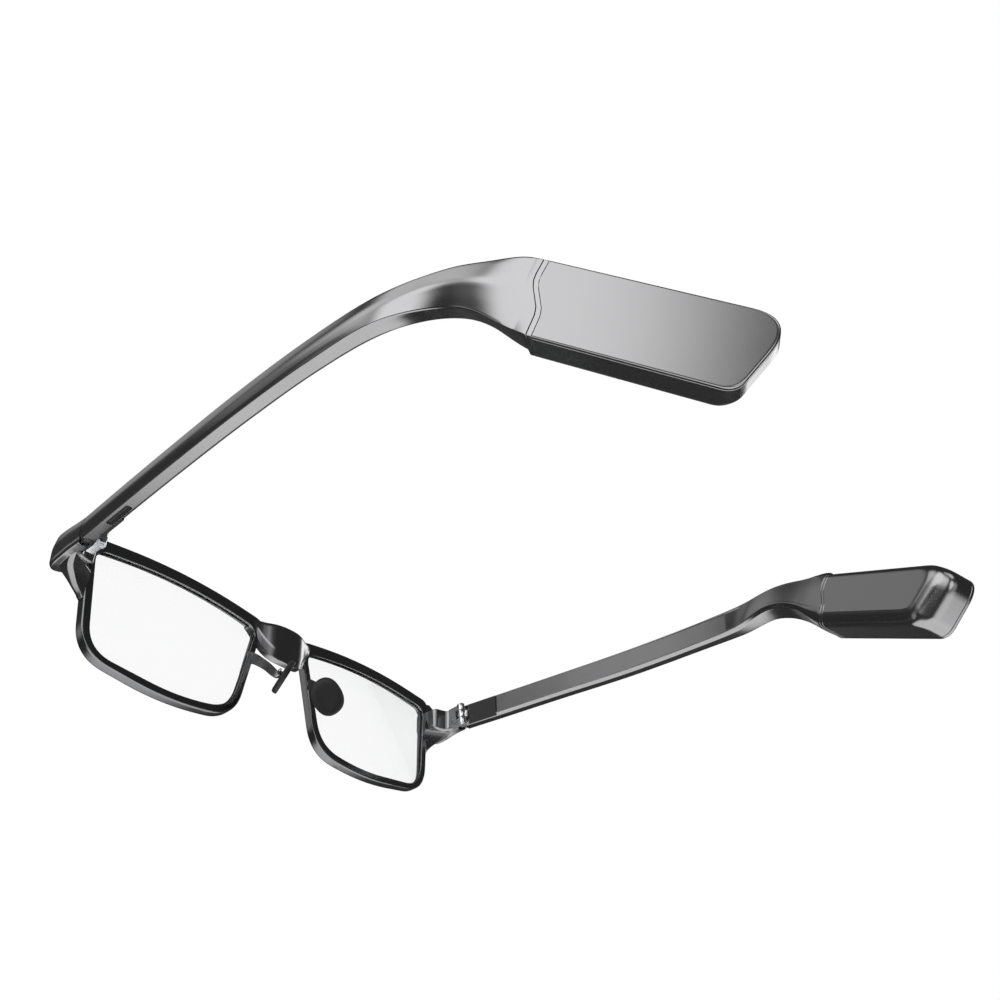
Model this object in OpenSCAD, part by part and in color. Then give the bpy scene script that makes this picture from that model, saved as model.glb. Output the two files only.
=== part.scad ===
// Smart glasses: a rectangular metal front with waveguide lenses, rocking nose pads,
// slim folding arms and a flat electronics pod at the end of each arm.
// X points to the wearer's left, Y towards the arm tips, Z up, in millimetres.
// Every left-hand piece is modelled, and the right-hand one is its mirror image.

/* [Front] */
// Half the distance between the outer faces of the two hinges
hinge_half_w = 68.6; // [66:0.2:71]
// Depth of the rims from front to back
rim_d = 2.8; // [2.6:0.1:3.2]
// Backward lean of the lens bottoms, in degrees
lens_tilt = 5; // [3:0.5:7]
// Thickness of the bridge saddle
bridge_t = 2.8; // [2.4:0.2:3]
// How far the bridge saddle stands behind the rims
bridge_back = 3.5; // [2.5:0.1:4]

/* [Lenses] */
// Thickness of the cover lens
cover_lens_t = 1; // [0.8:0.1:1.1]
// Thickness of the waveguide
waveguide_t = 0.6; // [0.5:0.1:0.7]
// How far the lenses reach under the rim's lip
lens_lap = 0.8; // [0.6:0.1:0.9]

/* [Nose pads] */
// Length of a nose pad
pad_l = 10.4; // [9:0.2:11]
// Width of a nose pad
pad_w = 8.4; // [7.4:0.2:9]
// Thickness of a nose pad
pad_t = 1.6; // [1.4:0.1:1.8]

/* [Arms] */
// Thickness of an arm
arm_t = 3.8; // [3.6:0.1:4.2]
// Backward lean of the hinge axis's foot, in degrees
hinge_tilt = 6.5; // [5:0.5:8]
// Radius of the hinge barrel
barrel_r = 1.25; // [1.1:0.05:1.3]
// Radius of the hinge pin
pin_r = 0.6; // [0.5:0.05:0.65]
// Radial running clearance of the hinge pin
pin_clear = 0.04; // [0.02:0.01:0.08]

/* [Pods] */
// Thickness of a pod
pod_t = 8.4; // [7.8:0.1:9]
// Height of a pod
pod_h = 14; // [13:0.5:15]
// Wall thickness of a pod
pod_wall = 1; // [0.8:0.1:1.2]
// Thickness of a pod's outer cover plate
pod_cover_t = 0.8; // [0.6:0.1:0.9]
// Width of the seam ring between arm and pod
ring_w = 1; // [0.8:0.1:1.4]

/* [Hidden] */
// The origin is under the middle of the object, at its lowest point.
middle_y = 81.3;
lift = 35.02;
// Gap between neighbouring pieces that are fixed to each other
fit = 0.05;
// Overshoot of a cut past the face that it opens
over = 1;
hinge = [64, 11.7, -0.65];
pod_origin = [64.06, 136.13, -13.4];
pod_turn = [-30.2, 14.76, 23.7];
pad_origin = [7.7, 12, -15.4];
pad_turn = [27.9, -22.8, -25.1];
bore_r = pin_r + pin_clear;

$fn = 48;

// ---- Outlines and sweeps ----

function unit(v) = v / norm(v);

// Closed outline whose corners [x, y, cut] are rounded, starting cut before each corner
function rounded(p, steps = 6) = let (n = len(p)) [
    for (i = [0 : n - 1])
        let (
            b = [p[i].x, p[i].y],
            a = [p[(i + n - 1) % n].x, p[(i + n - 1) % n].y],
            c = [p[(i + 1) % n].x, p[(i + 1) % n].y],
            from = b + p[i].z * unit(a - b),
            to = b + p[i].z * unit(c - b)
        )
        for (k = [0 : steps])
            let (t = k / steps)
            (1 - t) * (1 - t) * from + 2 * t * (1 - t) * b + t * t * to
];

// Corners moved away from a centre by about d on every side
function grown(p, d, c = [33, -11], half = [24, 14]) = [
    for (q = p) [q.x + d * (q.x - c.x) / half.x, q.y + d * (q.y - c.y) / half.y, q.z]
];

// Point at t between b and c on a smooth curve through a, b, c and d
function curve_point(a, b, c, d, t) = 0.5 * (2 * b + (c - a) * t
    + (2 * a - 5 * b + 4 * c - d) * t * t + (3 * b - a - 3 * c + d) * t * t * t);

// Smooth open curve through the points of a rail
function smooth(p, steps) = let (n = len(p)) concat(
    [for (i = [0 : n - 2], k = [0 : steps - 1])
        curve_point(p[max(i - 1, 0)], p[i], p[i + 1], p[min(i + 2, n - 1)], k / steps)],
    [p[n - 1]]
);

// Solid that joins a list of rings, each with the same number of points
module loft(rings) {
    n = len(rings[0]);
    m = len(rings);
    polyhedron(
        points = [for (r = rings) each r],
        faces = concat(
            [[for (i = [0 : n - 1]) i]],
            [for (j = [0 : m - 2], i = [0 : n - 1])
                [j * n + i, (j + 1) * n + i, (j + 1) * n + (i + 1) % n]],
            [for (j = [0 : m - 2], i = [0 : n - 1])
                [j * n + i, (j + 1) * n + (i + 1) % n, j * n + (i + 1) % n]],
            [[for (i = [n - 1 : -1 : 0]) (m - 1) * n + i]]
        )
    );
}

// Outline in Y and Z, made solid from one X to another
module slab(outline, from, to) {
    translate([from, 0, 0]) rotate([90, 0, 90]) linear_extrude(to - from) polygon(outline);
}

// Outline in X and Z, made solid from one Y back to another
module wall(outline, from, to) {
    translate([0, to, 0]) rotate([90, 0, 0]) linear_extrude(to - from) polygon(outline);
}

module box(from, to) {
    translate(from) cube(to - from);
}

// ---- Places ----

module placed() {
    translate([0, -middle_y, lift]) children();
}

module left() {
    placed() children();
}

module right() {
    placed() mirror([1, 0, 0]) children();
}

module lens_plane() {
    rotate([lens_tilt, 0, 0]) children();
}

module pod_frame() {
    translate(pod_origin) rotate(pod_turn) children();
}

module pad_frame() {
    translate(pad_origin) rotate(pad_turn) children();
}

module hinge_frame() {
    translate(hinge) rotate([hinge_tilt, 0, 0]) children();
}

// Follows the front stretch of the arm: X across it, 0 on its outer face, Y along it
module arm_front_frame() {
    translate([hinge_half_w, 10, 0]) rotate([0, 0, -4.3]) children();
}

// ---- Front ----

lens_corners = [
    [58.9, 3.2, 3.5], [32.4, 6.5, 18], [9, 2.7, 4],
    [15.5, -24, 6.5], [31.2, -26.6, 8.5], [55.6, -23.9, 6.5]
];
rim_corners = [
    [61.3, 6.4, 3], [32.1, 10, 20], [6.8, 6, 3],
    [13.7, -26.2, 8], [33.3, -28.7, 10], [57.6, -25.2, 8]
];
// Rear face of the rims, depth of their lip and thickness of the gasket
rim_back = 0.3;
lip_d = 0.6;
gasket_t = 0.2;

module rim_blank() {
    wall(rounded(rim_corners), rim_back - rim_d, rim_back);
}

// Seat for the lenses, open to the front behind a lip of lip_d
module lens_seat() {
    wall(rounded(lens_corners), rim_back - rim_d - over, rim_back + over);
    wall(rounded(grown(lens_corners, lens_lap + fit)), rim_back - rim_d - over, rim_back - lip_d);
}

module bridge() {
    ramp_w = 3.6;
    flat_w = 4.9;
    root_w = flat_w + ramp_w;
    plan = concat(
        [[11, 0, 0.1], [root_w, 0.3, 2], [flat_w, bridge_back, 2]],
        [[-flat_w, bridge_back, 2], [-root_w, 0.3, 2], [-11, 0, 0.1]],
        [[-11, -bridge_t, 0.1], [-root_w + 0.4, -bridge_t, 2], [-flat_w + 0.4, bridge_back - bridge_t, 1.6]],
        [[flat_w - 0.4, bridge_back - bridge_t, 1.6], [root_w - 0.4, -bridge_t, 2], [11, -bridge_t, 0.1]]
    );
    face = [
        [12, 6.6, 0.1], [4.4, 5.4, 4], [-4.4, 5.4, 4], [-12, 6.6, 0.1],
        [-9.6, 1.2, 0.5], [-4.8, -6.3, 2], [4.8, -6.3, 2], [9.6, 1.2, 0.5]
    ];
    translate([0, rim_back, 0]) difference() {
        intersection() {
            translate([0, 0, -8]) linear_extrude(16) polygon(rounded(plan));
            wall(rounded(face), -6, 6);
        }
        // bevel along the back of the lower edge
        translate([0, bridge_back, -3.2]) rotate([24, 0, 0]) translate([-8, 0, -6]) cube([16, 4, 6]);
    }
}

// Slot through the rim's outer wall for the coupling prism
prism_from = [59.5, -1, -2.6];
prism_to = [61.9, -0.2, 0.4];

module prism_slot() {
    box(prism_from - [over, fit, fit], prism_to + [fit, fit, fit]);
}

module front_frame() {
    color("#2a2b2d")
    lens_plane() difference() {
        union() {
            for (m = [0, 1])
                mirror([m, 0, 0]) rim_blank();
            bridge();
        }
        for (m = [0, 1])
            mirror([m, 0, 0]) {
                lens_seat();
                prism_slot();
            }
    }
}

module waveguide() {
    back = rim_back - lip_d;
    color("#dfe8ea", 0.4)
    lens_plane() wall(rounded(grown(lens_corners, lens_lap)), back - waveguide_t, back);
}

module lens_gasket() {
    back = rim_back - lip_d - waveguide_t;
    color("#151515")
    lens_plane() difference() {
        wall(rounded(grown(lens_corners, lens_lap)), back - gasket_t, back);
        wall(rounded(lens_corners), back - over, back + over);
    }
}

module cover_lens() {
    back = rim_back - lip_d - waveguide_t - gasket_t;
    color("#eef3f5", 0.4)
    lens_plane() wall(rounded(grown(lens_corners, lens_lap)), back - cover_lens_t, back);
}

// ---- Endpieces ----

end_top = 3.8;
end_bottom = -4;
engine_from = [62, -2.7, -2.6];
engine_to = [65.8, 1.6, 2];

module endpiece_blank() {
    w = hinge_half_w;
    plan = [
        [58, -3.2, 0.1], [w - 0.4, -3.7, 4], [w, 9.9, 0.3], [w - 4, 9.9, 0.8],
        [w - 4.6, 6.5, 1.5], [w - 7.4, 1.4, 1.5], [58, 0.6, 0.1]
    ];
    gusset = [
        [58, 6, 0.1], [w - 5, 6, 2], [w - 1.6, 3.4, 1], [w - 1.6, -4, 2],
        [61.6, -11.4, 1.5], [58, -11.4, 0.1]
    ];
    gusset_plan = [
        [58, -2.8, 0.1], [w - 2, -3.1, 2.2], [w - 3, 1.1, 1.8], [58, 0.9, 0.1]
    ];
    translate([0, 0, end_bottom]) linear_extrude(end_top - end_bottom) polygon(rounded(plan));
    intersection() {
        wall(rounded(gusset), -6, 4);
        translate([0, 0, -13]) linear_extrude(20) polygon(rounded(gusset_plan));
    }
}

// Room for the light engine, open to the front where the lid closes it
module engine_room() {
    box([engine_from.x, -7, engine_from.z] - [fit, 0, fit], engine_to + [fit, fit, fit]);
}

module endpiece() {
    color("#303133")
    difference() {
        endpiece_blank();
        lens_plane() rim_blank();
        engine_room();
        lens_plane() prism_slot();
        arm_well();
    }
}

// The round well under the joint between endpiece and arm
module arm_well() {
    translate([hinge_half_w - 2.3, 10.5, end_bottom - over]) cylinder(r = 1.6, h = over + 2);
}

module endpiece_lid() {
    color("#202124")
    intersection() {
        endpiece_blank();
        box([engine_from.x, -7, engine_from.z], [engine_to.x, engine_from.y - fit, engine_to.z]);
    }
}

module light_engine() {
    color("#8a7a4a")
    union() {
        box(engine_from, engine_to - [0.6, 0, 0]);
        translate([engine_to.x - 0.6, -0.8, -0.3]) rotate([0, 90, 0]) cylinder(r = 1.4, h = 0.6);
    }
}

module coupling_prism() {
    color("#cfdde0", 0.5)
    lens_plane() box(prism_from, prism_to);
}

// ---- Nose pads ----

// In the pad's frame X points away from the nose, Z along the pad's length.
swing_x = 1.6;
pad_pin_r = 0.3;
holder_from = 2.15;
holder_to = 3;
holder_r = 2.5;
lug_w = 1.6;
ear_t = 0.7;
core_r = 1.5;

module across_pad(r, l) {
    translate([swing_x, l / 2, 0]) rotate([90, 0, 0]) cylinder(r = r, h = l);
}

module pad_arm() {
    foot = [[9.2, 1, -3.4], [11.2, 1.8, -12.2]];
    hand = [[9.9, 9.4, -11.8], [10.4, 10, -15.4]];
    ear_y = lug_w / 2 + fit;
    color("#3a3b3d")
    difference() {
        union() {
            hull()
                for (p = concat(foot, hand))
                    translate(p) sphere(r = 0.55, $fn = 20);
            pad_frame() {
                translate([holder_from, 0, 0]) rotate([0, 90, 0])
                    cylinder(r = holder_r, h = holder_to - holder_from);
                for (y = [ear_y, -ear_y - ear_t])
                    box([swing_x - 0.55, y, -0.8], [holder_from + 0.4, y + ear_t, 0.8]);
            }
        }
        lens_plane() rim_blank();
        pad_frame() {
            across_pad(pad_pin_r, 6);
            box([-3, -6, -6], [swing_x - 0.55, 6, 6]);
        }
    }
}

module pad_pin() {
    color("#c9ccd0")
    pad_frame() across_pad(pad_pin_r, lug_w + 2 * ear_t);
}

module pad_core() {
    color("#4a4a4a")
    pad_frame() difference() {
        union() {
            translate([pad_t / 2 - 0.4, 0, 0]) rotate([0, 90, 0]) cylinder(r = core_r, h = 0.4);
            box([pad_t / 2 - 0.1, -lug_w / 2, -0.55], [swing_x + 0.45, lug_w / 2, 0.55]);
        }
        across_pad(pad_pin_r + 0.03, 6);
    }
}

module nose_pad() {
    corner = pad_w / 2.1;
    outline = [for (y = [-1, 1], z = [-1, 1]) [y * pad_w / 2, y * z * pad_l / 2, corner]];
    color("#0f0f10")
    pad_frame() difference() {
        slab(rounded(outline, 8), -pad_t / 2, pad_t / 2);
        translate([pad_t / 2 - 0.4, 0, 0]) rotate([0, 90, 0]) cylinder(r = core_r, h = 3);
    }
}

// ---- Hinges ----

barrel_l = 6.8;
arm_knuckle_l = 2.3;
knuckle_gap = 0.1;
screw_head_r = 1;
screw_head_h = 0.4;
leaf_y = [3.4, 13.6];
leaf_z = [-3.1, 1.8];
leaf_x = [-3.1, -2.2];
leaf_screw_y = [6.2, 11];

module front_knuckles(r) {
    l = barrel_l / 2 - arm_knuckle_l / 2 - knuckle_gap;
    for (z = [-barrel_l / 2, barrel_l / 2 - l])
        translate([0, 0, z]) cylinder(r = r, h = l);
}

module hinge_front_leaf() {
    l = barrel_l / 2 - arm_knuckle_l / 2 - knuckle_gap;
    color("#c9ccd0")
    difference() {
        hinge_frame() difference() {
            union() {
                front_knuckles(barrel_r);
                box([-1, -4.3, -barrel_l / 2 + 0.3], [0.9, -1.7, barrel_l / 2 - 0.3]);
                for (z = [-barrel_l / 2, barrel_l / 2 - l])
                    box([-1, -1.8, z + 0.3], [0.9, -0.5, z + l - 0.3]);
            }
            translate([0, 0, -barrel_l]) cylinder(r = pin_r, h = 2 * barrel_l);
        }
        endpiece();
    }
}

module hinge_pin() {
    color("#d4d6d9")
    hinge_frame() difference() {
        union() {
            translate([0, 0, -barrel_l / 2]) cylinder(r = pin_r, h = barrel_l);
            translate([0, 0, -barrel_l / 2 - screw_head_h]) cylinder(r = screw_head_r, h = screw_head_h);
        }
        box([-2, -0.12, -barrel_l / 2 - 2], [2, 0.12, -barrel_l / 2 - screw_head_h / 2]);
    }
}

module leaf_screw_places() {
    arm_front_frame()
        for (y = leaf_screw_y)
            translate([leaf_x[0], y, (leaf_z[0] + leaf_z[1]) / 2]) rotate([0, 90, 0]) children();
}

module hinge_arm_leaf() {
    color("#c9ccd0")
    difference() {
        union() {
            arm_front_frame() {
                box([leaf_x[0], leaf_y[0] - 1.6, leaf_z[0]], [leaf_x[1], leaf_y[1], leaf_z[1]]);
                box([-4.6, 0.7, -1.65], [leaf_x[1], leaf_y[0], 0.35]);
            }
            hinge_frame() translate([0, 0, -arm_knuckle_l / 2]) cylinder(r = barrel_r, h = arm_knuckle_l);
        }
        hinge_frame() {
            translate([0, 0, -barrel_l]) cylinder(r = bore_r, h = 2 * barrel_l);
            front_knuckles(barrel_r + 0.25);
        }
        leaf_screw_places() {
            cylinder(r = 0.5, h = 3);
            translate([0, 0, -over]) cylinder(r = 0.95, h = over + 0.4);
        }
    }
}

module leaf_screws() {
    color("#b9bcc0")
    leaf_screw_places() {
        cylinder(r = 0.5, h = 2.2);
        cylinder(r = 0.9, h = 0.4);
    }
}

// ---- Arms ----

// Outer top and bottom edges of the arm from the hinge to the pod; the top rail's
// fourth value is the arm's thickness.
top_rail = [
    [68.6, 10.1, 2.7, arm_t], [69.7, 24, 2.7, arm_t], [71.2, 45, 2.7, arm_t], [72.6, 68.6, 2.7, arm_t],
    [73.1, 89.4, 2.7, arm_t + 0.2], [72.4, 106, 2.5, arm_t + 0.3], [70.1, 119.8, 0.7, arm_t + 0.5],
    [67.9, 131.3, -3.7, pod_t - 1.2], [64.7, 138.9, -6.9, pod_t], [63, 141.6, -8.6, pod_t]
];
bottom_rail = [
    [68.6, 10.1, -4, 0], [69.7, 24, -4, 0], [71.2, 45, -4, 0], [72.7, 68.6, -4.2, 0],
    [73.2, 89.3, -4.1, 0], [72.3, 104.9, -4.4, 0], [68.5, 116.6, -5.6, 0],
    [66.5, 124.8, -10.7, 0], [63.4, 133.3, -19.9, 0], [61.7, 136, -21.7, 0]
];
rail_steps = 3;
// Half height and depth of the channel for the cable, and thickness of its strip
slot_half_h = 1.6;
slot_d = 1.6;
strip_t = 0.6;

top_curve = smooth(top_rail, rail_steps);
bottom_curve = smooth(bottom_rail, rail_steps);
last_ring = len(top_curve) - 1;

function xyz(p) = [p[0], p[1], p[2]];
function ring_mid(i) = (xyz(top_curve[i]) + xyz(bottom_curve[i])) / 2;

// A section's points [inward, upward] placed on the arm at ring i
function arm_ring(i, section) = let (
    up = unit(xyz(top_curve[i]) - xyz(bottom_curve[i])),
    along = unit(ring_mid(min(i + 1, last_ring)) - ring_mid(max(i - 1, 0))),
    outward = unit(cross(along, up))
) [for (q = section) ring_mid(i) - q.x * outward + q.y * up];

function arm_height(i) = norm(xyz(top_curve[i]) - xyz(bottom_curve[i]));

// C-shaped section of the shell, open to the head
function shell_section(i) = let (h = arm_height(i) / 2, t = top_curve[i][3], s = slot_half_h) [
    [0.6, -h], [t - 0.8, -h], [t, -h + 0.8], [t, -s], [t - slot_d, -s], [t - slot_d, s],
    [t, s], [t, h - 0.8], [t - 0.8, h], [0.6, h], [0.15, h - 0.9], [0, 0], [0.15, -h + 0.9]
];

function strip_section(i) = let (t = top_curve[i][3], s = slot_half_h - fit) [
    [t - strip_t, -s], [t, -s], [t, s], [t - strip_t, s]
];

function flex_section(i) = let (t = top_curve[i][3] - slot_d + 0.2) [
    [t, -1.2], [t + 0.25, -1.2], [t + 0.25, 1.2], [t, 1.2]
];

module arm_shell() {
    color("#3b3c3e")
    difference() {
        loft([for (i = [0 : last_ring]) arm_ring(i, shell_section(i))]);
        arm_front_frame() {
            // relief around the hinge barrel, and seats for the leaf and its cover
            box([-6, -2, -9], [leaf_x[1] + fit, leaf_y[0], 9]);
            box([-6, leaf_y[0] - over, leaf_z[0] - fit], [leaf_x[1], leaf_y[1] + fit, leaf_z[1] + fit]);
            box([-6, leaf_y[0] - over, -9], [leaf_x[0] - fit, leaf_y[1] + fit, 9]);
        }
        leaf_screw_places() cylinder(r = 0.5, h = 2.2);
        slot_grille_blank(fit);
        arm_well();
        beyond_arm();
    }
}

module arm_inner_strip() {
    color("#45464a")
    difference() {
        loft([for (i = [rail_steps : last_ring]) arm_ring(i, strip_section(i))]);
        beyond_arm();
    }
}

module flex_cable() {
    color("#b5702c")
    difference() {
        loft([for (i = [rail_steps : last_ring - 1]) arm_ring(i, flex_section(i))]);
        beyond_arm();
    }
}

module hinge_cover() {
    color("#0c0c0d")
    arm_front_frame() box([-arm_t, leaf_y[0], -3.9], [leaf_x[0] - fit, leaf_y[1], 2.6]);
}

module slot_grille_blank(grow = 0) {
    w = 1 + grow;
    arm_front_frame() translate([-1.9, 0, end_bottom - 0.4]) linear_extrude(1.2 + grow)
        polygon(rounded([[-w, 12.9, w * 0.9], [w, 12.9, w * 0.9], [w, 20.6, w * 0.9], [-w, 20.6, w * 0.9]]));
}

module slot_grille() {
    color("#0c0c0d")
    difference() {
        slot_grille_blank();
        arm_front_frame() box([-5, 10, -9], [2, 24, end_bottom + 0.25]);
    }
}

// ---- Pods ----

// In the pod's frame X points outwards from 0 on the outer face, Y runs along the
// pod from the seam, Z up. The seam is a zigzag.
function seam(d) = [
    [-1.4 + d, pod_h / 2, 0.05], [-1.6 + d, 2.7, 0.7], [1.3 + d, -2.6, 0.7], [1.4 + d, -pod_h / 2, 0.05]
];
rear_foot = 34.8;
rear_head = 38.8;

// The pod's outline from the seam moved by d
function pod_outline(d) = rounded(concat(
    seam(d), [[rear_foot, -pod_h / 2, 4], [rear_head, pod_h / 2, 7]]
));

// Everything past the arm's end of the seam ring
module beyond_arm() {
    far = 14;
    line = seam(-ring_w);
    pod_frame() slab(rounded(concat(
        [[line[0].x, far, 1]], [for (i = [1, 2]) line[i]], [[line[3].x, -far, 1], [40, -far, 1], [40, far, 1]]
    )), -far, far);
}

cavity = rounded([
    [3.4, pod_h / 2 - pod_wall, 1], [3.4, -pod_h / 2 + pod_wall, 1],
    [27, -pod_h / 2 + pod_wall, 1.5], [30, pod_h / 2 - pod_wall, 1.5]
]);
contact_r = 0.9;
contact_y = [7, 10, 13];
contact_x = -3.4;

module seam_ring() {
    hole = [[-4, 4.5, 1], [-4, -4.5, 1], [4, -4.5, 1], [4, 4.5, 1]];
    color("#56585b")
    pod_frame() difference() {
        slab(rounded(concat(seam(-ring_w), [for (i = [3 : -1 : 0]) seam(0)[i]])), -pod_t, 0);
        slab(rounded(hole), -pod_t + 1.4, -1.4);
    }
}

module pod_shell() {
    rear_mid = (rear_foot + rear_head) / 2;
    rear_lean = atan((rear_head - rear_foot) / pod_h);
    color("#3d3e41")
    pod_frame() difference() {
        slab(pod_outline(0), -pod_t, -pod_cover_t);
        slab(cavity, -pod_t + pod_wall, over);
        // opening towards the arm for the flex cable
        box([-pod_t + 1.4, -3, -1.5], [-pod_t + 3, 5, 1.5]);
        for (y = contact_y)
            translate([contact_x, y, 0]) cylinder(r = contact_r, h = pod_h);
        // bevel on the head's side of the rear end
        translate([0, rear_mid, 0]) rotate([-rear_lean, 0, 0]) translate([0, 0, -15])
            linear_extrude(30) polygon([[-pod_t - over, -8.5], [-pod_t, -7.5], [-1.4, 0.6], [-1.4, 5], [-9, 5]]);
    }
}

module pod_cover() {
    color("#4b4d50")
    pod_frame() slab(pod_outline(0), -pod_cover_t, 0);
}

module battery() {
    outline = [[11, 5, 0.8], [11, -3.6, 0.8], [26.4, -3.6, 0.8], [28.4, 5, 0.8]];
    color("#8f9296")
    pod_frame() slab(rounded(outline), -pod_t + pod_wall + 0.15, -2.5);
}

module pod_board() {
    outline = [[4, 5.6, 0.5], [4, -5.6, 0.5], [26, -5.6, 0.5], [29, 5.6, 0.5]];
    color("#1d5a3a")
    pod_frame() union() {
        slab(rounded(outline), -1.8, -1.3);
        box([-2.9, 4.4, -4.5], [-1.8, 9.4, 0.5]);
        box([-2.6, 5, 1.4], [-1.8, 8.6, 4.4]);
    }
}

module touch_sensor() {
    outline = [[5, 5, 1], [5, -5, 1], [25, -5, 1], [27.5, 5, 1]];
    color("#a0662c")
    pod_frame() slab(rounded(outline), -1.1, -0.9);
}

module charging_contacts() {
    color("#d9b45a")
    pod_frame()
        for (y = contact_y)
            translate([contact_x, y, pod_h / 2 - pod_wall - 0.4]) cylinder(r = contact_r, h = pod_wall + 0.4);
}

// ---- Nodes ----

placed() front_frame();
left() cover_lens();  // left_cover_lens
right() cover_lens();  // right_cover_lens
left() waveguide();  // left_waveguide
right() waveguide();  // right_waveguide
left() lens_gasket();  // left_lens_gasket
right() lens_gasket();  // right_lens_gasket
left() endpiece();  // left_endpiece
right() endpiece();  // right_endpiece
left() endpiece_lid();  // left_endpiece_lid
right() endpiece_lid();  // right_endpiece_lid
left() light_engine();  // left_light_engine
right() light_engine();  // right_light_engine
left() coupling_prism();  // left_coupling_prism
right() coupling_prism();  // right_coupling_prism
left() pad_arm();  // left_pad_arm
right() pad_arm();  // right_pad_arm
left() pad_pin();  // left_pad_pin
right() pad_pin();  // right_pad_pin
left() pad_core();  // left_pad_core
right() pad_core();  // right_pad_core
left() nose_pad();  // left_nose_pad
right() nose_pad();  // right_nose_pad
left() hinge_front_leaf();  // left_hinge_front_leaf
right() hinge_front_leaf();  // right_hinge_front_leaf
left() hinge_pin();  // left_hinge_pin
right() hinge_pin();  // right_hinge_pin
left() hinge_arm_leaf();  // left_hinge_arm_leaf
right() hinge_arm_leaf();  // right_hinge_arm_leaf
left() leaf_screws();  // left_leaf_screws
right() leaf_screws();  // right_leaf_screws
left() arm_shell();  // left_arm_shell
right() arm_shell();  // right_arm_shell
left() arm_inner_strip();  // left_arm_inner_strip
right() arm_inner_strip();  // right_arm_inner_strip
left() flex_cable();  // left_flex_cable
right() flex_cable();  // right_flex_cable
left() hinge_cover();  // left_hinge_cover
right() hinge_cover();  // right_hinge_cover
left() slot_grille();  // left_slot_grille
right() slot_grille();  // right_slot_grille
left() seam_ring();  // left_seam_ring
right() seam_ring();  // right_seam_ring
left() pod_shell();  // left_pod_shell
right() pod_shell();  // right_pod_shell
left() pod_cover();  // left_pod_cover
right() pod_cover();  // right_pod_cover
left() battery();  // left_battery
right() battery();  // right_battery
left() pod_board();  // left_pod_board
right() pod_board();  // right_pod_board
left() touch_sensor();  // left_touch_sensor
right() touch_sensor();  // right_touch_sensor
left() charging_contacts();  // left_charging_contacts
right() charging_contacts();  // right_charging_contacts
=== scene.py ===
import math

import bmesh
import bpy
import numpy as np
from mathutils import Matrix, Vector


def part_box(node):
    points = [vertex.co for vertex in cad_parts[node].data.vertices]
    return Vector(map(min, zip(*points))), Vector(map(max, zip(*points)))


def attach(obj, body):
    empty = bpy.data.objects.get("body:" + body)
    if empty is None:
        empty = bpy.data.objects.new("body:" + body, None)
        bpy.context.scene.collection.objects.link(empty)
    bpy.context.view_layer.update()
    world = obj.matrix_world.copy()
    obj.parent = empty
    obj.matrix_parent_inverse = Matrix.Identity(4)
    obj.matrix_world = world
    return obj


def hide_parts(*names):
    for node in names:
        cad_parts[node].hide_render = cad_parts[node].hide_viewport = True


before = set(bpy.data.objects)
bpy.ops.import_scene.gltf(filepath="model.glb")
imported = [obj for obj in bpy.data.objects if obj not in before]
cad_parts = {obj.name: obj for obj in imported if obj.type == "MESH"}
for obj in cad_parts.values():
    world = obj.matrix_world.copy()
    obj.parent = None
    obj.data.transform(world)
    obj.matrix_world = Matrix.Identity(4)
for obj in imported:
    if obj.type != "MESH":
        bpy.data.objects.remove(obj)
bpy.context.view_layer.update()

# ---------------------------------------------------------------- design frame
# Shapes are written in millimetres as in the CAD source: X to the wearer's left,
# Y towards the arm tips, Z up. The endpiece and the hinge cover tie them to the frame.
MM = 0.001
END_REAR_Y = 9.9
COVER_TOP_Z = 2.6
ORIGIN = Vector((0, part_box("left_endpiece")[1].y - END_REAR_Y * MM,
                 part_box("left_hinge_cover")[1].z - COVER_TOP_Z * MM))

# Places, and turns in degrees, of the parts that do not follow the frame's axes.
LENS_TILT = math.radians(5)
POD_ORIGIN = Vector((64.06, 136.13, -13.4))
POD_TURN = (-30.2, 14.76, 23.7)
PAD_ORIGIN = Vector((7.7, 12, -15.4))
PAD_TURN = (27.9, -22.8, -25.1)


def turned(degrees):
    x, y, z = (math.radians(d) for d in degrees)
    return Matrix.Rotation(z, 3, "Z") @ Matrix.Rotation(y, 3, "Y") @ Matrix.Rotation(x, 3, "X")


POD_ROT = turned(POD_TURN)
PAD_ROT = turned(PAD_TURN)
LENS_ROT = Matrix.Rotation(LENS_TILT, 3, "X")


def in_pod(x, y, z):
    return POD_ORIGIN + POD_ROT @ Vector((x, y, z))


def in_pad(x, y, z):
    return PAD_ORIGIN + PAD_ROT @ Vector((x, y, z))


def in_lens(x, y, z):
    return LENS_ROT @ Vector((x, y, z))


# ---------------------------------------------------------------- outlines
def rounded(corners, steps=6):
    """Closed outline whose corners (x, y, cut) are rounded, starting cut before each."""
    outline = []
    n = len(corners)
    for i in range(n):
        b = Vector(corners[i][:2])
        a = Vector(corners[i - 1][:2])
        c = Vector(corners[(i + 1) % n][:2])
        cut = corners[i][2]
        start = b + (a - b).normalized() * cut
        end = b + (c - b).normalized() * cut
        for k in range(steps + 1):
            t = k / steps
            outline.append(start * (1 - t) ** 2 + b * 2 * t * (1 - t) + end * t * t)
    return outline


def dense_outline(corners, arc=10, side=8):
    """Rounded outline with the same count of points on each corner and each side."""
    arcs = rounded(corners, arc)
    n = len(corners)
    points = []
    for i in range(n):
        piece = arcs[i * (arc + 1):(i + 1) * (arc + 1)]
        following = arcs[((i + 1) % n) * (arc + 1)]
        points += piece
        points += [piece[-1].lerp(following, k / side) for k in range(1, side)]
    return points


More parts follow.
